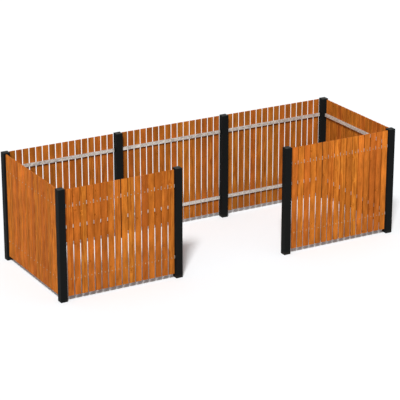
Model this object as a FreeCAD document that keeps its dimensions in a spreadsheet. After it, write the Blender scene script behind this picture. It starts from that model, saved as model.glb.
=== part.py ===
import FreeCAD, Part
import os
import Sketcher

# Slatted garden screen: eight square posts, seven timber panels on steel rails and an open bay
# in the middle of the front. Millimetres, +Z up. The origin is on the ground in the
# middle of the plan, +X runs along the long side and -Y is the front.

sizes = {
    # Plan, from post centre to post centre
    "bay_pitch": 1850,
    "depth_pitch": 1850,
    # Square tube posts
    "post_size": 105,
    "post_height": 1674,
    "post_wall": 3,
    "post_corner": 2,
    "bore_corner": 1,
    # Flat caps with a hollow plug in the top of the post
    "cap_thickness": 5,
    "cap_edge": 1.5,
    "plug_length": 25,
    "plug_wall": 3,
    "plug_clearance": 0.3,
    # Upright slats, the same number in every panel
    "slat_count": 16,
    "slat_width": 88,
    "slat_thickness": 18,
    "slat_length": 1593,
    "slat_arris": 2,
    "slat_lift": 75,
    "slat_inset": 15.5,
    "end_gap": 24,
    # How much further in the two end panels stand than the others
    "side_shift": 8,
    # Box rails behind the slats, placed from the slats' ends to the rail's middle
    "rail_height": 50,
    "rail_depth": 25,
    "rail_wall": 2,
    "rail_bend": 1,
    "rail_inset": 252,
    "rail_end_clearance": 0.5,
    # Cups on the posts, open towards the slats, that hold the rails' ends
    "bracket_reach": 20,
    "bracket_thickness": 4,
    "bracket_bend": 2,
    # Domed screws with a hexagon socket, through the slats and through the cups
    "screw_shank": 5.5,
    "screw_head": 14,
    "screw_head_height": 4,
    "screw_dome": 3,
    "screw_point": 5,
    "socket_flats": 4,
    "socket_depth": 2.4,
    "screw_reach": 8,
    # Hexagon screws with a washer face, from the cups into the posts, two in each cup
    "bolt_shank": 6.3,
    "bolt_washer": 14,
    "bolt_washer_height": 1.5,
    "bolt_flats": 10,
    "bolt_flats_height": 5,
    "bolt_point": 6,
    "bolt_reach": 10,
    "bolt_spacing": 24,
    # Added to a shank's diameter where it passes through
    "hole_clearance": 0.4,
}

# Lengths that differ by less than this are the same
near = 0.01

# Heights of the rails' middles above the ground
lowerRail = "(Sizes.slat_lift + Sizes.rail_inset)"
upperRail = "(Sizes.slat_lift + Sizes.slat_length - Sizes.rail_inset)"
railRise = "(Sizes.slat_length - 2 * Sizes.rail_inset)"

# Depths in a panel's own frame: 0 is the posts' centre line, negative is outward
slatFace = "(Sizes.slat_inset - Sizes.post_size / 2)"
slatMiddle = "(Sizes.slat_inset - Sizes.post_size / 2 + Sizes.slat_thickness / 2)"
slatBack = "(Sizes.slat_inset - Sizes.post_size / 2 + Sizes.slat_thickness)"
railMiddle = "(%s + Sizes.rail_depth / 2)" % slatBack
cupBack = "(%s + Sizes.rail_depth + Sizes.bracket_thickness)" % slatBack

# From the post's face to the middle of a cup's screw, halfway along the free part of the cup
cupScrew = "(Sizes.bracket_reach / 2 + Sizes.bracket_thickness / 2)"

# Panels: the pitch they fill, the middle of their line of posts, and the turn that faces the
# slats outward
panels = {
    "front_left": ("bay_pitch", "-Sizes.bay_pitch", "-Sizes.depth_pitch / 2", 0),
    "front_right": ("bay_pitch", "Sizes.bay_pitch", "-Sizes.depth_pitch / 2", 0),
    "right_side": ("depth_pitch", "1.5 * Sizes.bay_pitch - Sizes.side_shift", "0 * Sizes.depth_pitch", 90),
    "back_right": ("bay_pitch", "Sizes.bay_pitch", "Sizes.depth_pitch / 2", 180),
    "back_centre": ("bay_pitch", "0 * Sizes.bay_pitch", "Sizes.depth_pitch / 2", 180),
    "back_left": ("bay_pitch", "-Sizes.bay_pitch", "Sizes.depth_pitch / 2", 180),
    "left_side": ("depth_pitch", "Sizes.side_shift - 1.5 * Sizes.bay_pitch", "0 * Sizes.depth_pitch", -90),
}

# Posts: bays along X and along Y from the origin, then for each panel that ends on the post the
# face that carries it, the side of the post that face is on, and the side its slats face
posts = {
    "front_left_corner": (-1.5, -0.5, (("X", 1, -1), ("Y", 1, -1))),
    "front_left_inner": (-0.5, -0.5, (("X", -1, -1),)),
    "front_right_inner": (0.5, -0.5, (("X", 1, -1),)),
    "front_right_corner": (1.5, -0.5, (("X", -1, -1), ("Y", 1, 1))),
    "back_right_corner": (1.5, 0.5, (("X", -1, 1), ("Y", -1, 1))),
    "back_right_inner": (0.5, 0.5, (("X", 1, 1), ("X", -1, 1))),
    "back_left_inner": (-0.5, 0.5, (("X", 1, 1), ("X", -1, 1))),
    "back_left_corner": (-1.5, 0.5, (("X", 1, 1), ("Y", -1, -1))),
}

doc = FreeCAD.newDocument("BinScreen")
sheet = doc.addObject("Spreadsheet::Sheet", "Sizes")
for row, (name, value) in enumerate(sizes.items(), start=1):
    sheet.set("A%d" % row, name)
    sheet.set("B%d" % row, str(value))
    sheet.setAlias("B%d" % row, name)
doc.recompute()


def newBody(label, x, y, turn):
    body = doc.addObject("PartDesign::Body", label)
    body.Label = label
    body.AllowCompound = True
    body.Placement = FreeCAD.Placement(FreeCAD.Vector(), FreeCAD.Rotation(FreeCAD.Vector(0, 0, 1), turn))
    body.setExpression("Placement.Base.x", x)
    body.setExpression("Placement.Base.y", y)
    return body


def originFeature(body, role):
    return [f for f in body.Origin.OriginFeatures if f.Role == role][0]


def seat(feature, body, role, right, up, out, turn=0):
    # Right, up and out are distances in the plane's own axes, out along its normal
    feature.AttachmentSupport = [(originFeature(body, role), "")]
    feature.MapMode = "FlatFace"
    rotation = FreeCAD.Rotation(FreeCAD.Vector(0, 0, 1), turn)
    feature.AttachmentOffset = FreeCAD.Placement(FreeCAD.Vector(), rotation)
    for axis, distance in (("x", right), ("y", up), ("z", out)):
        if distance != "0":
            feature.setExpression("AttachmentOffset.Base." + axis, distance)


def newSketch(body, name, role, right="0", up="0", out="0", turn=0):
    sketch = body.newObject("Sketcher::SketchObject", name)
    seat(sketch, body, role, right, up, out, turn)
    return sketch


def bind(sketch, kind, first, firstEnd, second, secondEnd, start, size):
    index = sketch.addConstraint(Sketcher.Constraint(kind, first, firstEnd, second, secondEnd, start))
    sketch.setExpression("Constraints[%d]" % index, size)


def addRectangle(sketch, width, depth, start):
    # Centred on the sketch's origin; start is the half size that it is first drawn at
    corners = [(-start, -start), (start, -start), (start, start), (-start, start)]
    first = sketch.GeometryCount
    for a, b in zip(corners, corners[1:] + corners[:1]):
        sketch.addGeometry(Part.LineSegment(FreeCAD.Vector(*a, 0), FreeCAD.Vector(*b, 0)))
    for i in range(4):
        sketch.addConstraint(Sketcher.Constraint("Coincident", first + i, 2, first + (i + 1) % 4, 1))
        sketch.addConstraint(Sketcher.Constraint(("Horizontal", "Vertical")[i % 2], first + i))
    sketch.addConstraint(Sketcher.Constraint("Symmetric", first, 1, first + 1, 2, -1, 1))
    bind(sketch, "DistanceX", first, 1, first, 2, 2 * start, width)
    bind(sketch, "DistanceY", first + 1, 1, first + 1, 2, 2 * start, depth)


def addOutline(sketch, corners):
    # Straight lines through corners given as distances right and up from the sketch's origin
    drawn = [FreeCAD.Vector(measure(right), measure(up), 0) for right, up in corners]
    for a, b in zip(drawn, drawn[1:] + drawn[:1]):
        sketch.addGeometry(Part.LineSegment(a, b))
    for i, (right, up) in enumerate(corners):
        sketch.addConstraint(Sketcher.Constraint("Coincident", i, 2, (i + 1) % len(corners), 1))
        if right == "0" and up == "0":
            sketch.addConstraint(Sketcher.Constraint("Coincident", i, 1, -1, 1))
            continue
        for kind, size, axis in (("DistanceX", right, -2), ("DistanceY", up, -1)):
            if size == "0":
                sketch.addConstraint(Sketcher.Constraint("PointOnObject", i, 1, axis))
            else:
                bind(sketch, kind, -1, 1, i, 1, measure(size), size)


def measure(size):
    return float(sheet.evalExpression(size))


def addHole(sketch, diameter, height):
    # A circle on the sketch's vertical axis
    centre = FreeCAD.Vector(0, measure(height), 0)
    circle = Part.Circle(centre, FreeCAD.Vector(0, 0, 1), measure(diameter) / 2)
    index = sketch.addGeometry(circle)
    sketch.addConstraint(Sketcher.Constraint("PointOnObject", index, 3, -2))
    bind(sketch, "DistanceY", -1, 1, index, 3, centre.y, height)
    across = sketch.addConstraint(Sketcher.Constraint("Diameter", index, measure(diameter)))
    sketch.setExpression("Constraints[%d]" % across, diameter)


def addFeature(body, kind, name, sketch, length, middle=False, backward=False):
    feature = body.newObject("PartDesign::" + kind, name)
    feature.Profile = sketch
    feature.setExpression("Length", length)
    feature.Midplane = middle
    feature.Reversed = backward
    return feature


def roundEdges(body, name, base, radius, chosen):
    doc.recompute()
    edges = ["Edge%d" % (i + 1) for i, edge in enumerate(base.Shape.Edges) if chosen(edge)]
    fillet = body.newObject("PartDesign::Fillet", name)
    fillet.Base = (base, edges)
    fillet.setExpression("Radius", radius)
    return fillet


def repeat(body, name, role, length, count, originals=()):
    # With no originals the whole body so far is repeated
    doc.recompute()
    pattern = body.newObject("PartDesign::LinearPattern", name)
    pattern.TransformMode = "Features" if originals else "Whole shape"
    pattern.Originals = list(originals)
    pattern.Direction = (originFeature(body, role), [""])
    pattern.setExpression("Length", length)
    pattern.setExpression("Occurrences", count)
    body.Tip = pattern
    return pattern


def mirrorEnds(body, name, originals=()):
    doc.recompute()
    mirror = body.newObject("PartDesign::Mirrored", name)
    mirror.TransformMode = "Features" if originals else "Whole shape"
    mirror.Originals = list(originals)
    mirror.MirrorPlane = (originFeature(body, "YZ_Plane"), [""])
    body.Tip = mirror
    return mirror


def alongAxis(edge, axis):
    if edge.Curve.TypeId != "Part::GeomLine":
        return False
    direction = edge.Vertexes[-1].Point - edge.Vertexes[0].Point
    return abs(direction.normalize().dot(axis)) > 0.999


def roundTube(body, base, axis, middle, half, corner, bore):
    # Corners of the bore first, then the outer ones, told apart by their reach from the middle
    def reach(edge):
        offset = edge.Vertexes[0].Point - middle
        return (offset - axis * offset.dot(axis)).Length

    bored = roundEdges(body, "BoreCorners", base, bore,
                       lambda e: alongAxis(e, axis) and reach(e) < half - near)
    return roundEdges(body, "OuterCorners", bored, corner,
                      lambda e: alongAxis(e, axis) and reach(e) > half - near)


def passHole(shank):
    return "%s + Sizes.hole_clearance" % shank


def makePost(label, x, y, faces):
    body = newBody(label, x, y, 0)
    section = newSketch(body, "PostSection", "XY_Plane")
    addRectangle(section, "Sizes.post_size", "Sizes.post_size", measure("Sizes.post_size") / 2)
    bore = "Sizes.post_size - 2 * Sizes.post_wall"
    addRectangle(section, bore, bore, measure(bore) / 2)
    tube = addFeature(body, "Pad", "PostTube", section, "Sizes.post_height")
    half = measure("Sizes.post_size / 2") * 2 ** 0.5
    upright = FreeCAD.Vector(0, 0, 1)
    roundTube(body, tube, upright, FreeCAD.Vector(), half, "Sizes.post_corner", "Sizes.bore_corner")
    for axis, side, outward in faces:
        # Two screws for each cup; the end panels stand on the faces across Y
        role = {"X": "YZ_Plane", "Y": "XZ_Plane"}[axis]
        depth = {"X": railMiddle, "Y": "(%s + Sizes.side_shift)" % railMiddle}[axis]
        offset = "%d * %s" % (-outward, depth)
        name = "%sHoles%s" % ({1: "Plus", -1: "Minus"}[side], axis)
        holes = newSketch(body, name + "Sketch", role, right=offset)
        for rail in (lowerRail, upperRail):
            for sign in ("-", "+"):
                addHole(holes, passHole("Sizes.bolt_shank"), "%s %s Sizes.bolt_spacing / 2" % (rail, sign))
        # A cut runs against its plane's normal, which is +X or -Y, unless it is reversed
        backward = side == {"X": 1, "Y": -1}[axis]
        addFeature(body, "Pocket", name, holes, "Sizes.post_size", backward=backward)
    return body


def makeCap(label, x, y):
    body = newBody(label, x, y, 0)
    outline = newSketch(body, "CapOutline", "XY_Plane", out="Sizes.post_height")
    addRectangle(outline, "Sizes.post_size", "Sizes.post_size", measure("Sizes.post_size") / 2)
    plate = addFeature(body, "Pad", "CapPlate", outline, "Sizes.cap_thickness")
    upright = FreeCAD.Vector(0, 0, 1)
    corners = roundEdges(body, "CapCorners", plate, "Sizes.post_corner", lambda e: alongAxis(e, upright))
    top = measure("Sizes.post_height + Sizes.cap_thickness")
    roundEdges(body, "CapEdge", corners, "Sizes.cap_edge",
               lambda e: all(abs(v.Z - top) < near for v in e.Vertexes))
    ring = newSketch(body, "PlugSection", "XY_Plane", out="Sizes.post_height")
    across = "Sizes.post_size - 2 * (Sizes.post_wall + Sizes.plug_clearance)"
    inside = across + " - 2 * Sizes.plug_wall"
    addRectangle(ring, across, across, measure(across) / 2)
    addRectangle(ring, inside, inside, measure(inside) / 2)
    plug = addFeature(body, "Pad", "Plug", ring, "Sizes.plug_length", backward=True)
    reach = measure(across) / 2
    roundEdges(body, "PlugCorners", plug, "Sizes.bore_corner",
               lambda e: alongAxis(e, upright) and abs(abs(e.Vertexes[0].X) - reach) < near)
    return body


def makeSlats(label, x, y, turn, span):
    row = rowLength(span)
    body = newBody(label, x, y, turn)
    section = newSketch(body, "SlatSection", "XY_Plane", "-(%s) / 2" % row, slatMiddle, "Sizes.slat_lift")
    addRectangle(section, "Sizes.slat_width", "Sizes.slat_thickness", measure("Sizes.slat_thickness") / 2)
    board = addFeature(body, "Pad", "Slat", section, "Sizes.slat_length")
    roundEdges(body, "Arrises", board, "Sizes.slat_arris", lambda e: alongAxis(e, FreeCAD.Vector(0, 0, 1)))
    holes = newSketch(body, "ScrewHoleSketch", "XZ_Plane", right="-(%s) / 2" % row)
    for rail in (lowerRail, upperRail):
        addHole(holes, passHole("Sizes.screw_shank"), rail)
    addFeature(body, "Pocket", "ScrewHoles", holes, "Sizes.post_size", middle=True)
    repeat(body, "SlatRow", "X_Axis", row, "Sizes.slat_count")
    return body


def rowLength(span):
    # From the first slat's middle to the last one's
    return "%s - 2 * Sizes.end_gap - Sizes.slat_width" % span


def makeRail(label, x, y, turn, span, height):
    row = rowLength(span)
    body = newBody(label, x, y, turn)
    section = newSketch(body, "RailSection", "YZ_Plane", railMiddle, height)
    start = measure("Sizes.rail_depth") / 2
    addRectangle(section, "Sizes.rail_depth", "Sizes.rail_height", start)
    addRectangle(section, "Sizes.rail_depth - 2 * Sizes.rail_wall", "Sizes.rail_height - 2 * Sizes.rail_wall",
                 start - measure("Sizes.rail_wall"))
    length = "%s - 2 * (Sizes.bracket_thickness + Sizes.rail_end_clearance)" % span
    tube = addFeature(body, "Pad", "RailTube", section, length, middle=True)
    middle = FreeCAD.Vector(0, measure(railMiddle), measure(height))
    half = measure("sqrt(Sizes.rail_depth ^ 2 + Sizes.rail_height ^ 2) / 2")
    along = FreeCAD.Vector(1, 0, 0)
    roundTube(body, tube, along, middle, half, "Sizes.rail_bend + Sizes.rail_wall", "Sizes.rail_bend")
    # Holes in one wall only, cut from the middle of the bore
    out = "-" + railMiddle
    slatHole = newSketch(body, "SlatScrewSketch", "XZ_Plane", "-(%s) / 2" % row, "0", out)
    addHole(slatHole, passHole("Sizes.screw_shank"), height)
    first = addFeature(body, "Pocket", "SlatScrewHole", slatHole, "Sizes.rail_depth", backward=True)
    repeat(body, "SlatScrewHoles", "X_Axis", row, "Sizes.slat_count", [first])
    endHole = newSketch(body, "EndScrewSketch", "XZ_Plane", "%s - %s / 2" % (cupScrew, span), "0", out)
    addHole(endHole, passHole("Sizes.screw_shank"), height)
    end = addFeature(body, "Pocket", "EndScrewHole", endHole, "Sizes.rail_depth")
    mirrorEnds(body, "EndScrewHoles", [end])
    return body


def makeBrackets(label, x, y, turn, span):
    body = newBody(label, x, y, turn)
    depth = "Sizes.rail_depth + Sizes.bracket_thickness"
    middle = "%s + (%s) / 2" % (slatBack, depth)
    section = newSketch(body, "CupSection", "YZ_Plane", middle, lowerRail, "-%s / 2" % span)
    addRectangle(section, depth, "Sizes.rail_height + 2 * Sizes.bracket_thickness", measure(depth) / 2)
    block = addFeature(body, "Pad", "CupBlock", section, "Sizes.bracket_reach")
    along = FreeCAD.Vector(1, 0, 0)
    roundEdges(body, "Bends", block, "Sizes.bracket_bend",
               lambda e: alongAxis(e, along) and e.Vertexes[0].Y > measure(railMiddle))
    # The rail's space starts at the plate that lies on the post
    mouth = newSketch(body, "RailSpaceSketch", "YZ_Plane", railMiddle, lowerRail,
                      "Sizes.bracket_thickness - %s / 2" % span)
    addRectangle(mouth, "Sizes.rail_depth", "Sizes.rail_height", measure("Sizes.rail_depth") / 2)
    addFeature(body, "Pocket", "RailSpace", mouth, "Sizes.bracket_reach", backward=True)
    bolts = newSketch(body, "BoltHoleSketch", "YZ_Plane", railMiddle)
    for sign in ("-", "+"):
        addHole(bolts, passHole("Sizes.bolt_shank"), "%s %s Sizes.bolt_spacing / 2" % (lowerRail, sign))
    addFeature(body, "Pocket", "BoltHoles", bolts, span)
    screw = newSketch(body, "ScrewHoleSketch", "XZ_Plane", "%s - %s / 2" % (cupScrew, span))
    addHole(screw, passHole("Sizes.screw_shank"), lowerRail)
    addFeature(body, "Pocket", "ScrewHole", screw, "Sizes.post_size", middle=True)
    repeat(body, "RailPair", "Z_Axis", railRise, "2")
    mirrorEnds(body, "BothEnds")
    return body


def addScrew(body, name, right, up, out, length, inward=True):
    # A domed head on the face at up, and a pointed shank that runs from it inward or outward
    half = "Sizes.screw_head / 2"
    shank = "Sizes.screw_shank / 2"
    top = "(%s %s Sizes.screw_head_height)" % (up, "-" if inward else "+")
    end = "Sizes.screw_head_height + %s" % length
    profile = newSketch(body, name + "Profile", "XY_Plane", right, top, out, turn=0 if inward else 180)
    addOutline(profile, [("0", "0"), (half, "0"), (half, "Sizes.screw_head_height"),
                         (shank, "Sizes.screw_head_height"), (shank, end), ("0", end + " + Sizes.screw_point")])
    turned = revolve(body, name, profile)
    face = measure(top)
    reach = measure(half)
    dome = roundEdges(body, name + "Dome", turned, "Sizes.screw_dome",
                      lambda e: e.Curve.TypeId == "Part::GeomCircle" and abs(e.Curve.Radius - reach) < near
                      and abs(e.Curve.Center.y - face) < near)
    socket = addPrism(body, "Subtractive", name + "Socket", "Sizes.socket_flats", "Sizes.socket_depth")
    floor = "(%s + Sizes.socket_depth)" % top if inward else top
    seat(socket, body, "XZ_Plane", right, out, "-" + floor)
    return [turned, dome, socket]


def revolve(body, name, profile):
    turned = body.newObject("PartDesign::Revolution", name)
    turned.Profile = profile
    turned.ReferenceAxis = (profile, ["V_Axis"])
    turned.Angle = 360
    return turned


def addPrism(body, kind, name, flats, height):
    prism = body.newObject("PartDesign::%sPrism" % kind, name)
    prism.Polygon = 6
    prism.setExpression("Circumradius", "%s / sqrt(3)" % flats)
    prism.setExpression("Height", height)
    return prism


def makeSlatScrews(label, x, y, turn, span):
    row = rowLength(span)
    body = newBody(label, x, y, turn)
    length = "Sizes.slat_thickness + Sizes.rail_wall + Sizes.screw_reach"
    addScrew(body, "Screw", "-(%s) / 2" % row, slatFace, lowerRail, length)
    repeat(body, "RailPair", "Z_Axis", railRise, "2")
    repeat(body, "ScrewRow", "X_Axis", row, "Sizes.slat_count")
    return body


def makeBracketFixings(label, x, y, turn, span):
    body = newBody(label, x, y, turn)
    # Washer face, hexagon and pointed shank, from the cup's plate into the post
    low = "%s - Sizes.bolt_spacing / 2" % lowerRail
    seatFace = "Sizes.bracket_thickness + Sizes.bolt_washer_height - %s / 2" % span
    washer = "Sizes.bolt_washer / 2"
    shank = "Sizes.bolt_shank / 2"
    end = "Sizes.bolt_washer_height + Sizes.bracket_thickness + Sizes.post_wall + Sizes.bolt_reach"
    profile = newSketch(body, "BoltProfile", "XY_Plane", seatFace, railMiddle, low, turn=90)
    addOutline(profile, [("0", "0"), (washer, "0"), (washer, "Sizes.bolt_washer_height"),
                         (shank, "Sizes.bolt_washer_height"), (shank, end), ("0", end + " + Sizes.bolt_point")])
    bolt = revolve(body, "Bolt", profile)
    head = addPrism(body, "Additive", "BoltHead", "Sizes.bolt_flats", "Sizes.bolt_flats_height")
    seat(head, body, "YZ_Plane", railMiddle, low, seatFace)
    repeat(body, "BoltPair", "Z_Axis", "Sizes.bolt_spacing", "2", [bolt, head])
    length = "Sizes.bracket_thickness + Sizes.rail_wall + Sizes.screw_reach"
    addScrew(body, "Screw", "%s - %s / 2" % (cupScrew, span), cupBack, lowerRail, length, inward=False)
    repeat(body, "RailPair", "Z_Axis", railRise, "2")
    mirrorEnds(body, "BothEnds")
    return body


parts = []
for name, (bays, rows, faces) in posts.items():
    x = "%s * Sizes.bay_pitch" % bays
    y = "%s * Sizes.depth_pitch" % rows
    parts.append(makePost("post_" + name, x, y, faces))
    parts.append(makeCap("cap_" + name, x, y))
for name, (pitch, x, y, turn) in panels.items():
    span = "(Sizes.%s - Sizes.post_size)" % pitch
    parts.append(makeSlats("slats_" + name, x, y, turn, span))
    parts.append(makeRail("lower_rail_" + name, x, y, turn, span, lowerRail))
    parts.append(makeRail("upper_rail_" + name, x, y, turn, span, upperRail))
    parts.append(makeBrackets("rail_brackets_" + name, x, y, turn, span))
    parts.append(makeSlatScrews("slat_screws_" + name, x, y, turn, span))
    parts.append(makeBracketFixings("bracket_fixings_" + name, x, y, turn, span))
doc.recompute()

# Every object is sound, every cut takes material away, and every part is a valid shape
for item in doc.Objects:
    if "Invalid" in item.State or "Error" in item.State:
        raise RuntimeError("%s has failed: %s" % (item.Label, item.State))
    if item.TypeId == "PartDesign::Pocket" and item.Shape.Volume > item.BaseFeature.Shape.Volume - 1:
        raise RuntimeError("%s cuts nothing" % item.Label)
for body in parts:
    if body.Shape.isNull() or not body.Shape.isValid():
        raise RuntimeError("%s has no valid shape" % body.Label)

os.makedirs("parts", exist_ok=True)
for body in parts:
    body.Shape.exportStep("parts/%s.step" % body.Label)
print("%d parts, %d solids" % (len(parts), sum(len(body.Shape.Solids) for body in parts)))
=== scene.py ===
import math
import bpy
from mathutils import Matrix, Vector


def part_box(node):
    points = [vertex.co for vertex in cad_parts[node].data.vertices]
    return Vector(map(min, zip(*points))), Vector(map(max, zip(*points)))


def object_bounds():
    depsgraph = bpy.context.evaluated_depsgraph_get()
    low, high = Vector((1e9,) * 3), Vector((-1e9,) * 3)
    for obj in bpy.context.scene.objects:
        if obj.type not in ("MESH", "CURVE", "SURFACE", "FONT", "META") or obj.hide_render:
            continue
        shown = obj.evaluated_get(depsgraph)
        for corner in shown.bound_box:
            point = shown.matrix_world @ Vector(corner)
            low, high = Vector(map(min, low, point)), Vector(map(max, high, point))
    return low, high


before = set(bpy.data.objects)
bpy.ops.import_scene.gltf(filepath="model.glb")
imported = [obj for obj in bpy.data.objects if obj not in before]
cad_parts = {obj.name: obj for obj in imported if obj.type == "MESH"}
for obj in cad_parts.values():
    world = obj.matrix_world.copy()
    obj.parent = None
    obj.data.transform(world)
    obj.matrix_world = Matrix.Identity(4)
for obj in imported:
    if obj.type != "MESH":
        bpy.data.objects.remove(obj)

cadLow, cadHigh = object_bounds()
print("frame loaded,", len(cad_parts), "nodes")


def linear(colour):
    # an sRGB hex colour as the linear value that a shader socket takes
    channels = [int(colour[i:i + 2], 16) / 255 for i in (1, 3, 5)]
    return [c / 12.92 if c <= 0.04045 else ((c + 0.055) / 1.055) ** 2.4 for c in channels] + [1]


def add(tree, kind, settings, inputs):
    # one node with its settings; an input is a number, a colour, a node or a node's socket
    node = tree.nodes.new("ShaderNode" + kind)
    for name, value in settings.items():
        setattr(node, name, value)
    for name, value in inputs.items():
        if isinstance(value, bpy.types.Node):
            value = value.outputs[0]
        if isinstance(value, bpy.types.NodeSocket):
            tree.links.new(value, node.inputs[name])
        else:
            node.inputs[name].default_value = value
    return node


def newMaterial(name):
    material = bpy.data.materials.new(name)
    material.use_nodes = True
    material.node_tree.nodes.clear()
    return material, material.node_tree


def setStops(ramp, stops):
    # colour ramp stops from a list of (place, hex colour)
    elements = ramp.color_ramp.elements
    while len(elements) < len(stops):
        elements.new(0.5)
    for element, (place, colour) in zip(elements, stops):
        element.position = place
        element.color = linear(colour)


def inMillimetres(tree):
    # where on the part a point lies, in millimetres
    place = add(tree, "TexCoord", {}, {})
    return add(tree, "VectorMath", {"operation": "SCALE"}, {0: place.outputs["Object"], "Scale": 1000})


def upward(tree):
    # how far the surface faces up: 1 for a flat top, 0 for an upright face
    normal = add(tree, "NewGeometry", {}, {}).outputs["Normal"]
    return add(tree, "SeparateXYZ", {}, {0: normal}).outputs["Z"]


def seenStraight(tree):
    # 1 for what the camera sees, also in a gloss or through glass, and 0 for light that bounces on
    rays = add(tree, "LightPath", {}, {})
    seen = add(tree, "Math", {"operation": "MAXIMUM"}, {
        0: rays.outputs["Is Camera Ray"], 1: rays.outputs["Is Glossy Ray"]})
    return add(tree, "Math", {"operation": "MAXIMUM"}, {
        0: seen, 1: rays.outputs["Is Transmission Ray"]})


def paint(prefix, material):
    # every node whose name starts with the prefix takes the material
    for name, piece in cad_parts.items():
        if name.startswith(prefix):
            piece.data.materials.clear()
            piece.data.materials.append(material)


noiseLow, noiseHigh = 0.3, 0.7     # most of a noise texture's values lie between these


# Slats: sawn softwood under an orange brown wood stain, thin enough for rings and knots to show
timber = {
    "count": 16,
    "width": 88,               # mm
    "treeLength": 9000,        # mm of tree from which the slats are cut
    "ringWidth": 7.0,          # mm; real rings are 2 to 4 mm, drawn coarser so that they show
    "pithSpread": 150,         # mm, how far to the side of a slat the tree's centre may be
    "pithNear": 25,            # mm behind the middle of the slat, where the centre is nearest
    "pithFar": 130,            # and where it is farthest
    "lean": 0.035,             # sideways run of the pith for each mm of height
    "longWarp": (70, 650, 9),  # mm across, mm along, mm of ring shift
    "shortWarp": (16, 110, 1.6),
    "fibre": (1.6, 45),        # mm across and along one streak
    "grain": 0.14,             # how far fibres shift the colour within a ring, as a share of the ring
    "blotch": (60, 260),       # mm across and along one patch of uneven stain
    "knotEvery": 430,          # mm of slat for each place where a knot may be
    "knotChance": 0.42,
    "knotApart": 3,            # pitches between two slats' knot cells, so that they share no knot
    "knotScatter": 0.9,        # how far a knot may lie from the middle of its place
    "knotTall": 0.78,          # under 1, a knot is longer along the slat than across it
    "knotRadius": (3, 9),      # mm
    "knotBlend": (-5, 4),      # mm from the knot's edge over which it fades into the wood
    "rimWidth": 12,            # mm of darker wood round a knot
    "knotReach": 42,           # mm round a knot where the rings bend
    "knotPush": 15,            # mm that the rings are pushed aside
    "early": "#CC7A2D",        # pale wood of spring
    "middle": "#BB6723",
    "late": "#984A14",         # dark wood of summer
    "ringStops": (0, 0.16, 0.55, 0.86, 1),
    "knot": "#934A12",
    "knotRim": "#AC5E18",
    "endGrain": "#AC5E1C",
    "endSlope": 0.8,           # a face that points up or down more than this is a cut end
    "endTone": (0.75, 1.2),    # rings on a cut end
    "toneSpread": 0.29,        # from the darkest slat to the palest
    "hueSpread": 0.010,
    "patchSpread": 0.52,       # from the darkest patch of stain to the palest
    "paintedInsideShade": 0.79,         # painted shade: the side that faces the inside is drawn darker, standing in for the shade within the enclosure
    "sideBlend": (0.2, 0.8),   # how far a face points inward, from none of that painted shade to all of it
    "roughness": (0.50, 0.68),
    "gloss": 0.04,             # the stain lies matt on the wood
    "relief": 0.0006,          # m
    "reliefStrength": 0.35,
    "ringRelief": 0.35,        # height of a ring as a share of a fibre's
}


def panelShape(panel):
    # from the boxes of the panel's slats and upper rail: its middle and top in m, its pitch in mm
    # and the way to the inside
    low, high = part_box("slats_" + panel)
    railLow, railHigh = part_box("upper_rail_" + panel)
    middle = (low + high) / 2
    inward = (railLow + railHigh) / 2 - middle
    inward.z = 0
    length = max(high.x - low.x, high.y - low.y) * 1000
    pitch = (length - timber["width"]) / (timber["count"] - 1)
    return middle, high.z, pitch, inward.normalized()


def addPanelPlace(tree, middle, inward):
    # mm along the panel, mm into it and mm above the ground, whichever way the panel stands
    turn = math.atan2(inward.y, inward.x) - math.pi / 2
    toPanel = Matrix.Rotation(-turn, 3, "Z")
    place = add(tree, "TexCoord", {}, {})
    local = add(tree, "Mapping", {}, {
        "Vector": place.outputs["Object"],
        "Location": toPanel @ Vector((middle.x, middle.y, 0)) * -1000,
        "Rotation": (0, 0, -turn),
        "Scale": (1000, 1000, 1000)})
    return add(tree, "SeparateXYZ", {}, {0: local}).outputs


def addKnots(tree, across, slat, along, pitch):
    # one chance of a knot in each stretch of slat: where the knot is, where its darker rim is, and
    # the mm by which it pushes the rings aside
    knotAcross = add(tree, "Math", {"operation": "MULTIPLY_ADD"}, {
        0: slat, 1: timber["knotApart"] * pitch, 2: across})
    knotPlace = add(tree, "CombineXYZ", {}, {0: knotAcross, 1: along, 2: 0})
    knotCell = add(tree, "VectorMath", {"operation": "DIVIDE"}, {
        0: knotPlace, 1: (pitch, timber["knotEvery"], 1)})
    knots = add(tree, "TexVoronoi", {"voronoi_dimensions": "2D", "feature": "F1"}, {
        "Vector": knotCell, "Scale": 1, "Randomness": timber["knotScatter"]})
    knotOffset = add(tree, "VectorMath", {"operation": "SUBTRACT"}, {
        0: knotCell, 1: knots.outputs["Position"]})
    knotSpan = add(tree, "VectorMath", {"operation": "MULTIPLY"}, {
        0: knotOffset, 1: (pitch, timber["knotEvery"] * timber["knotTall"], 0)})
    distance = add(tree, "VectorMath", {"operation": "LENGTH"}, {0: knotSpan}).outputs["Value"]
    knotLuck, knotSize = add(tree, "SeparateColor", {}, {0: knots.outputs["Color"]}).outputs[:2]
    hasKnot = add(tree, "Math", {"operation": "GREATER_THAN"}, {0: knotLuck, 1: 1 - timber["knotChance"]})

    radius = add(tree, "MapRange", {}, {
        0: knotSize, "To Min": timber["knotRadius"][0], "To Max": timber["knotRadius"][1]})
    edge = add(tree, "Math", {"operation": "SUBTRACT"}, {0: distance, 1: radius})
    heart = add(tree, "MapRange", {"interpolation_type": "SMOOTHSTEP"}, {
        0: edge, "From Min": timber["knotBlend"][0], "From Max": timber["knotBlend"][1],
        "To Min": 1, "To Max": 0})
    rim = add(tree, "MapRange", {"interpolation_type": "SMOOTHSTEP"}, {
        0: edge, "From Max": timber["rimWidth"], "To Min": 1, "To Max": 0})
    push = add(tree, "MapRange", {"interpolation_type": "SMOOTHSTEP"}, {
        0: distance, "From Max": timber["knotReach"], "To Min": timber["knotPush"], "To Max": 0})
    return [add(tree, "Math", {"operation": "MULTIPLY"}, {0: mask, 1: hasKnot})
            for mask in (heart, rim, push)]


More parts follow.
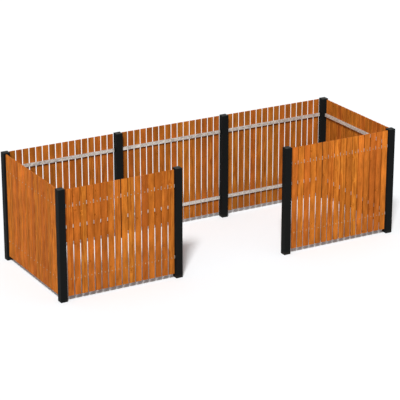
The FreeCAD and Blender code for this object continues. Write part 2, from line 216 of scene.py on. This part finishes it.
def addRings(tree, grainPlace, height, chances, knotShift):
    # growth rings: distance from the pith of the tree, bent by slow and quick warps
    sideChance, depthChance, leanChance = chances
    leaning = add(tree, "MapRange", {}, {
        0: leanChance, "To Min": -timber["lean"], "To Max": timber["lean"]})
    pithSide = add(tree, "MapRange", {}, {
        0: sideChance, "To Min": -timber["pithSpread"], "To Max": timber["pithSpread"]})
    pithX = add(tree, "Math", {"operation": "MULTIPLY_ADD"}, {0: leaning, 1: height, 2: pithSide})
    pithY = add(tree, "MapRange", {}, {
        0: depthChance, "To Min": timber["pithNear"], "To Max": timber["pithFar"]})
    pith = add(tree, "CombineXYZ", {}, {0: pithX, 1: pithY, 2: 0})
    section = add(tree, "VectorMath", {"operation": "MULTIPLY"}, {0: grainPlace, 1: (1, 1, 0)})
    rings = add(tree, "VectorMath", {"operation": "DISTANCE"}, {0: section, 1: pith}).outputs["Value"]
    for wide, tall, amount in (timber["longWarp"], timber["shortWarp"]):
        bent = add(tree, "VectorMath", {"operation": "DIVIDE"}, {0: grainPlace, 1: (wide, wide, tall)})
        noise = add(tree, "TexNoise", {}, {"Vector": bent, "Scale": 1, "Detail": 2})
        rings = add(tree, "Math", {"operation": "MULTIPLY_ADD"}, {0: noise, 1: 2 * amount, 2: rings})
    rings = add(tree, "Math", {"operation": "ADD"}, {0: rings, 1: knotShift})
    ringCount = add(tree, "Math", {"operation": "DIVIDE"}, {0: rings, 1: timber["ringWidth"]})
    return add(tree, "Math", {"operation": "FRACT"}, {0: ringCount})


def addStreaks(tree, grainPlace):
    # fine fibres and broad patches where the stain took unevenly
    wide, tall = timber["fibre"]
    fibrePlace = add(tree, "VectorMath", {"operation": "DIVIDE"}, {0: grainPlace, 1: (wide, wide, tall)})
    fibre = add(tree, "TexNoise", {}, {"Vector": fibrePlace, "Scale": 1, "Detail": 3, "Roughness": 0.6})
    wide, tall = timber["blotch"]
    patchPlace = add(tree, "VectorMath", {"operation": "DIVIDE"}, {0: grainPlace, 1: (wide, wide, tall)})
    patch = add(tree, "TexNoise", {}, {"Vector": patchPlace, "Scale": 1, "Detail": 3})
    return fibre, patch


def addWoodColour(tree, ringTone, isKnot, isRim):
    # pale spring wood and dark summer wood round each ring, with brown knots over them
    wood = add(tree, "ValToRGB", {}, {0: ringTone})
    colours = [timber[name] for name in ("middle", "early", "middle", "late", "middle")]
    setStops(wood, list(zip(timber["ringStops"], colours)))
    rimmed = add(tree, "MixRGB", {}, {
        "Fac": isRim, "Color1": wood, "Color2": linear(timber["knotRim"])})
    return add(tree, "MixRGB", {}, {
        "Fac": isKnot, "Color1": rimmed, "Color2": linear(timber["knot"])})


def addTone(tree, toneChance, patch, height, top, inward, footAndTop):
    # how pale the stain is: by the slat, by the patch and by the height, with painted shade on the side
    # that faces inward
    toneLow = 1 - timber["toneSpread"] / 2
    slatTone = add(tree, "MapRange", {}, {
        0: toneChance, "To Min": toneLow, "To Max": toneLow + timber["toneSpread"]})
    patchTone = add(tree, "MapRange", {}, {
        0: patch, "From Min": noiseLow, "From Max": noiseHigh,
        "To Min": 1 - timber["patchSpread"] / 2, "To Max": 1 + timber["patchSpread"] / 2})
    normal = add(tree, "NewGeometry", {}, {}).outputs["Normal"]
    facing = add(tree, "VectorMath", {"operation": "DOT_PRODUCT"}, {0: normal, 1: inward}).outputs["Value"]
    # painted shade: faces that point inward are drawn darker
    insideShade = add(tree, "MapRange", {}, {
        0: facing, "From Min": timber["sideBlend"][0], "From Max": timber["sideBlend"][1],
        "To Min": 1, "To Max": timber["paintedInsideShade"]})
    footTone, topTone = footAndTop
    heightTone = add(tree, "MapRange", {}, {
        0: height, "From Max": top * 1000, "To Min": footTone, "To Max": topTone})
    tone = slatTone
    for factor in (patchTone, insideShade, heightTone):
        tone = add(tree, "Math", {"operation": "MULTIPLY"}, {0: tone, 1: factor})
    return tone


def addCutEnds(tree, ring, stained):
    # cut ends have their own colour, with the rings running through
    steep = add(tree, "Math", {"operation": "ABSOLUTE"}, {0: upward(tree)})
    isEnd = add(tree, "Math", {"operation": "GREATER_THAN"}, {0: steep, 1: timber["endSlope"]})
    endTone = add(tree, "MapRange", {}, {
        0: ring, "To Min": timber["endTone"][0], "To Max": timber["endTone"][1]})
    cutEnd = add(tree, "HueSaturation", {}, {"Value": endTone, "Color": linear(timber["endGrain"])})
    return add(tree, "MixRGB", {}, {"Fac": isEnd, "Color1": stained, "Color2": cutEnd})


def makeTimber(panel, seed, footAndTop):
    # stained timber: warm, low sheen, each slat its own tone, dark latewood lines and brown knots
    middle, top, pitch, inward = panelShape(panel)
    material, tree = newMaterial("stainedTimber." + panel)
    x, depth, height = addPanelPlace(tree, middle, inward)

    # which slat, how far across it, and the slat's own chances
    cell = add(tree, "Math", {"operation": "MULTIPLY_ADD"}, {0: x, 1: 1 / pitch, 2: timber["count"] / 2})
    slat = add(tree, "Math", {"operation": "FLOOR"}, {0: cell})
    inCell = add(tree, "Math", {"operation": "FRACT"}, {0: cell})
    across = add(tree, "Math", {"operation": "MULTIPLY_ADD"}, {0: inCell, 1: pitch, 2: -pitch / 2})
    key = add(tree, "Math", {"operation": "ADD"}, {0: slat, 1: seed})
    chance = add(tree, "TexWhiteNoise", {"noise_dimensions": "1D"}, {"W": key})
    toneChance = chance.outputs["Value"]
    chances = add(tree, "SeparateColor", {}, {0: chance.outputs["Color"]}).outputs

    # the same grain space for every slat, moved far along by its own chance
    along = add(tree, "Math", {"operation": "MULTIPLY_ADD"}, {
        0: toneChance, 1: timber["treeLength"], 2: height})
    grainPlace = add(tree, "CombineXYZ", {}, {0: across, 1: depth, 2: along})
    isKnot, isRim, knotShift = addKnots(tree, across, slat, along, pitch)
    ring = addRings(tree, grainPlace, height, chances, knotShift)
    fibre, patch = addStreaks(tree, grainPlace)
    grain = add(tree, "MapRange", {}, {
        0: fibre, "From Min": noiseLow, "From Max": noiseHigh,
        "To Min": -timber["grain"], "To Max": timber["grain"]})
    ringTone = add(tree, "Math", {"operation": "ADD"}, {0: ring, 1: grain})

    # wood, stain and cut ends; a hue of 0.5 changes nothing, and a slat cut nearer the pith is redder
    knotted = addWoodColour(tree, ringTone, isKnot, isRim)
    hueLow = 0.5 - timber["hueSpread"] / 2
    hue = add(tree, "MapRange", {}, {
        0: chances[1], "To Min": hueLow, "To Max": hueLow + timber["hueSpread"]})
    tone = addTone(tree, toneChance, patch, height, top, inward, footAndTop)
    stained = add(tree, "HueSaturation", {}, {"Hue": hue, "Value": tone, "Color": knotted})
    board = addCutEnds(tree, ring, stained)

    rough = add(tree, "MapRange", {}, {
        0: ringTone, "To Min": timber["roughness"][1], "To Max": timber["roughness"][0]})
    relief = add(tree, "Math", {"operation": "MULTIPLY_ADD"}, {0: ring, 1: timber["ringRelief"], 2: fibre})
    bump = add(tree, "Bump", {}, {
        "Strength": timber["reliefStrength"], "Distance": timber["relief"], "Height": relief})
    shader = add(tree, "BsdfPrincipled", {}, {
        "Base Color": board, "Roughness": rough, "Normal": bump, "Specular IOR Level": timber["gloss"]})
    add(tree, "OutputMaterial", {}, {"Surface": shader})
    return material


# each panel's seed, and its tone at the foot and at the top, blended evenly with height between them
panels = {
    "front_left": (7, (0.96, 1.07)),
    "front_right": (47, (0.97, 1.28)),
    "right_side": (87, (1.01, 1.12)),
    "back_right": (127, (0.97, 1.00)),
    "back_centre": (167, (1.07, 1.01)),
    "back_left": (207, (1.02, 1.06)),
    "left_side": (247, (1.04, 1.16)),
}
for panel, (seed, footAndTop) in panels.items():
    paint("slats_" + panel, makeTimber(panel, seed, footAndTop))
print("slats stained,", len(panels), "panels")


# Posts, caps and brackets: polyester powder coat on steel, a fine orange peel and a low sheen
coating = {
    "post": "#1A1B1B",
    "cap": "#212324",
    "bracket": "#111212",
    "dust": "#7D756A",
    "postDust": 0,             # share of dust on flat tops
    "capDust": 0.16,
    "bracketDust": 0.08,
    "dustSlope": 0.7,          # dust lies on a face that points up more than this
    "dustRange": (0.35, 0.65),  # noise values from clean to dusty
    "splash": 60,              # mm above the ground where dust and dried splashes sit
    "splashLevel": 0.12,
    "peel": 5,                 # mm; real orange peel is 1 to 2 mm, drawn coarser so that it shows
    "patch": 120,              # mm, broad unevenness of the sheen and the dust
    "roughness": (0.42, 0.58),
    "gloss": 0.016,
    "relief": 0.0004,          # m
    "reliefStrength": 0.25,
}


def makeCoating(name, colour, dustOnTop):
    # powder coat: near black, soft highlights, a little dust at the foot and on flat tops
    material, tree = newMaterial(name)
    place = inMillimetres(tree)
    peel = add(tree, "TexNoise", {}, {"Vector": place, "Scale": 1 / coating["peel"], "Detail": 2})
    patch = add(tree, "TexNoise", {}, {"Vector": place, "Scale": 1 / coating["patch"], "Detail": 4})
    height = add(tree, "SeparateXYZ", {}, {0: place}).outputs["Z"]
    low = add(tree, "MapRange", {"interpolation_type": "SMOOTHSTEP"}, {
        0: height, "From Max": coating["splash"], "To Min": coating["splashLevel"], "To Max": 0})
    top = add(tree, "MapRange", {}, {
        0: upward(tree), "From Min": coating["dustSlope"], "To Max": dustOnTop})
    laid = add(tree, "Math", {"operation": "MAXIMUM"}, {0: low, 1: top})
    uneven = add(tree, "MapRange", {}, {
        0: patch, "From Min": coating["dustRange"][0], "From Max": coating["dustRange"][1]})
    dust = add(tree, "Math", {"operation": "MULTIPLY", "use_clamp": True}, {0: laid, 1: uneven})
    tint = add(tree, "MixRGB", {}, {
        "Fac": dust, "Color1": linear(colour), "Color2": linear(coating["dust"])})
    rough = add(tree, "MapRange", {}, {
        0: patch, "From Min": noiseLow, "From Max": noiseHigh,
        "To Min": coating["roughness"][0], "To Max": coating["roughness"][1]})
    bump = add(tree, "Bump", {}, {
        "Strength": coating["reliefStrength"], "Distance": coating["relief"], "Height": peel})
    shader = add(tree, "BsdfPrincipled", {}, {
        "Base Color": tint, "Roughness": rough, "Normal": bump, "Specular IOR Level": coating["gloss"]})
    add(tree, "OutputMaterial", {}, {"Surface": shader})
    return material


paint("post_", makeCoating("powderCoat.posts", coating["post"], coating["postDust"]))
paint("cap_", makeCoating("powderCoat.caps", coating["cap"], coating["capDust"]))
cupCoat = makeCoating("powderCoat.brackets", coating["bracket"], coating["bracketDust"])
paint("rail_brackets_", cupCoat)
paint("bracket_fixings_", cupCoat)
print("posts, caps and brackets coated")


# Rails: hot dip galvanised steel, dull zinc with a frosty spangle
zinc = {
    "spangle": 16,             # mm across one crystal
    "wobble": 9,               # mm by which a crystal's edge wanders
    "dark": "#ADA59E",
    "light": "#E2DBD2",
    "bloom": "#ECE5DC",        # pale oxide
    "streak": 90,              # mm across a patch of bloom
    "bloomRange": (0.5, 0.72),  # noise values from bare to bloomed
    "bloomLevel": 0.7,
    "topShade": "#4A443D",        # painted shade on the rail's flat top, dark where contact shade lies above the rail
    "topShadeRange": (0.5, 0.95),  # how far a face points up, from none of the painted shade to all of it
    "topShadeLevel": 0.35,
    "metal": 0.35,             # share of bare metal under the dull film
    "roughness": (0.34, 0.55),
    "grit": 0.35,              # bumps for each mm, 3 mm apart; real ones are finer, drawn coarser to show
    "relief": 0.0003,          # m
    "reliefStrength": 0.2,
}


def makeZinc():
    # hot dip zinc: crystals of slightly different grey and sheen, with pale oxide bloom and painted shade
    # on flat tops
    material, tree = newMaterial("galvanisedSteel")
    place = inMillimetres(tree)
    wobble = add(tree, "TexNoise", {}, {"Vector": place, "Scale": 1 / zinc["spangle"], "Detail": 2})
    edge = add(tree, "VectorMath", {"operation": "MULTIPLY_ADD"}, {
        0: wobble.outputs["Color"], 1: [zinc["wobble"]] * 3, 2: place})
    crystals = add(tree, "TexVoronoi", {"feature": "F1"}, {"Vector": edge, "Scale": 1 / zinc["spangle"]})
    grey, sheen = add(tree, "SeparateColor", {}, {0: crystals.outputs["Color"]}).outputs[:2]
    bloom = add(tree, "TexNoise", {}, {"Vector": place, "Scale": 1 / zinc["streak"], "Detail": 5})
    bloomed = add(tree, "MapRange", {"interpolation_type": "SMOOTHSTEP"}, {
        0: bloom, "From Min": zinc["bloomRange"][0], "From Max": zinc["bloomRange"][1],
        "To Max": zinc["bloomLevel"]})
    # painted shade on flat tops: darker and less metallic where a face points up
    topShadeMask = add(tree, "MapRange", {"interpolation_type": "SMOOTHSTEP"}, {
        0: upward(tree), "From Min": zinc["topShadeRange"][0], "From Max": zinc["topShadeRange"][1],
        "To Max": zinc["topShadeLevel"]})
    shade = add(tree, "MixRGB", {}, {
        "Fac": grey, "Color1": linear(zinc["dark"]), "Color2": linear(zinc["light"])})
    frosted = add(tree, "MixRGB", {}, {
        "Fac": bloomed, "Color1": shade, "Color2": linear(zinc["bloom"])})
    topShaded = add(tree, "MixRGB", {}, {
        "Fac": topShadeMask, "Color1": frosted, "Color2": linear(zinc["topShade"])})
    metal = add(tree, "MapRange", {}, {0: topShadeMask, "To Min": zinc["metal"], "To Max": 0})
    rough = add(tree, "MapRange", {}, {
        0: sheen, "To Min": zinc["roughness"][0], "To Max": zinc["roughness"][1]})
    grit = add(tree, "TexNoise", {}, {
        "Vector": place, "Scale": zinc["grit"], "Detail": 4, "Roughness": 0.6})
    bump = add(tree, "Bump", {}, {
        "Strength": zinc["reliefStrength"], "Distance": zinc["relief"], "Height": grit})
    shader = add(tree, "BsdfPrincipled", {}, {
        "Base Color": topShaded, "Roughness": rough, "Normal": bump, "Metallic": metal})
    add(tree, "OutputMaterial", {}, {"Surface": shader})
    return material


galvanised = makeZinc()
for level in ("upper", "lower"):
    paint(level + "_rail_", galvanised)
print("rails galvanised")


# Screws: bare stainless steel, cold formed heads
stainless = {
    # warm tint of the heads: partly a film of stain and wood dust, partly a painted reflection of the warm
    # wood round them
    "bright": "#CDBFA0",
    "dull": "#A08F70",
    "grit": 0.8,               # mm; forming marks are finer, drawn coarser so that they show
    "roughness": (0.22, 0.42),
}


def makeStainless():
    # stainless steel: pale heads with a slightly uneven polish, warm-tinted partly by painted reflection
    # of the wood
    material, tree = newMaterial("stainlessSteel")
    marks = add(tree, "TexNoise", {}, {
        "Vector": inMillimetres(tree), "Scale": 1 / stainless["grit"], "Detail": 3})
    tint = add(tree, "MixRGB", {}, {
        "Fac": marks, "Color1": linear(stainless["bright"]), "Color2": linear(stainless["dull"])})
    rough = add(tree, "MapRange", {}, {
        0: marks, "To Min": stainless["roughness"][0], "To Max": stainless["roughness"][1]})
    shader = add(tree, "BsdfPrincipled", {}, {"Base Color": tint, "Roughness": rough, "Metallic": 1})
    add(tree, "OutputMaterial", {}, {"Surface": shader})
    return material


paint("slat_screws_", makeStainless())
print("screws finished")


# Floor: one plain pale sheet, white to the camera, that keeps the shadow
floorValues = {
    "reach": 60,               # m to each side
    "drop": 0.0005,            # m below the posts, so that the two don't lie in one plane
    "colour": "#929292",       # what the floor throws back at the screen
    "shown": "#EAECEE",        # what the camera sees: white in the sun, cool against the warm bounce
}


def makeFloor():
    reach = floorValues["reach"]
    corners = [(-reach, -reach, 0), (reach, -reach, 0), (reach, reach, 0), (-reach, reach, 0)]
    mesh = bpy.data.meshes.new("floor")
    mesh.from_pydata(corners, [], [(0, 1, 2, 3)])
    floor = bpy.data.objects.new("floor", mesh)
    bpy.context.scene.collection.objects.link(floor)
    floor.location.z = cadLow.z - floorValues["drop"]
    material, tree = newMaterial("paleFloor")
    tint = add(tree, "MixRGB", {}, {
        "Fac": seenStraight(tree), "Color1": linear(floorValues["colour"]),
        "Color2": linear(floorValues["shown"])})
    sheet = add(tree, "BsdfDiffuse", {}, {"Color": tint})
    add(tree, "OutputMaterial", {}, {"Surface": sheet})
    mesh.materials.append(material)


makeFloor()


# Light: a soft sun high on the left of the front, a weak wide fill from the left and an even surround
light = {
    "travel": (0.386, 0.536, -0.750),
    "sun": 3.5,
    "softness": 9.0,           # degrees
    "fillTravel": (0.95, 0.06, -0.30),
    "fill": 0.30,
    "fillSoftness": 80,
    "surround": 0.38,
}


def makeLight():
    for name, travel, strength, softness in (
            ("key", light["travel"], light["sun"], light["softness"]),
            ("fill", light["fillTravel"], light["fill"], light["fillSoftness"])):
        lamp = bpy.data.lights.new(name, "SUN")
        lamp.energy = strength
        lamp.angle = math.radians(softness)
        sun = bpy.data.objects.new(name, lamp)
        sun.rotation_mode = "QUATERNION"
        sun.rotation_quaternion = Vector(travel).to_track_quat("-Z", "Y")
        bpy.context.scene.collection.objects.link(sun)


def makeSurround():
    # white to the camera, and a plain even light on the part
    world = bpy.data.worlds.new("surround")
    bpy.context.scene.world = world
    world.use_nodes = True
    tree = world.node_tree
    tree.nodes.clear()
    level = add(tree, "MapRange", {}, {
        0: seenStraight(tree), "To Min": light["surround"], "To Max": 1})
    white = add(tree, "Background", {}, {"Color": (1, 1, 1, 1), "Strength": level})
    add(tree, "OutputWorld", {}, {"Surface": white})


makeLight()
makeSurround()
bpy.context.scene.view_settings.view_transform = "Standard"
print("floor and light set")


# Camera: far away with a long lens, above and to the left of the front
view = {
    "place": (-12.7243, -22.3406, 10.0406),   # m
    "turn": -29.607,           # degrees round Z, from looking along +Y
    "down": 19.909,            # degrees
    "lens": 163.2,             # mm
    "sensor": 36,              # mm
    "sees": 200,               # m
}


def makeCamera():
    data = bpy.data.cameras.new("camera")
    data.lens = view["lens"]
    data.sensor_width = view["sensor"]
    data.clip_end = view["sees"]
    camera = bpy.data.objects.new("camera", data)
    camera.location = view["place"]
    camera.rotation_euler = (math.radians(90 - view["down"]), 0, math.radians(view["turn"]))
    bpy.context.scene.collection.objects.link(camera)
    bpy.context.scene.camera = camera


makeCamera()
print("camera placed")
